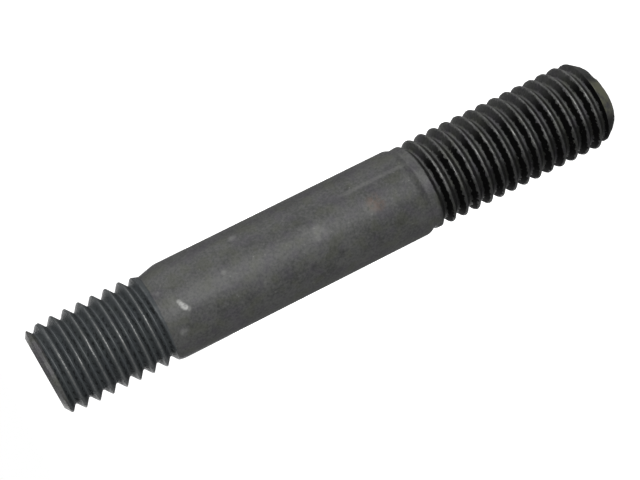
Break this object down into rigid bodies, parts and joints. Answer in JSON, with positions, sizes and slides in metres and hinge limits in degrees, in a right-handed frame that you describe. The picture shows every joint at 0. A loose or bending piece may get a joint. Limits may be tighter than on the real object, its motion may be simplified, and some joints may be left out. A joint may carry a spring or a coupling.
{
  "type": "double ended stud",
  "caption": "Headless steel fastener with a long nut thread, a plain full-diameter body and a shorter tap thread for a blind hole.",
  "frame": {"origin": "centre of the nut end's flat face, on the stud's axis", "axes": "+Z along the stud's axis, from the nut end up to the tap end"},
  "size_m": [0.0098, 0.0098, 0.0654],
  "materials": {
    "phosphated_steel": "matte"
  },
  "bodies": {
    "root": {"stud": "phosphated_steel"}
  },
  "joints": []
}
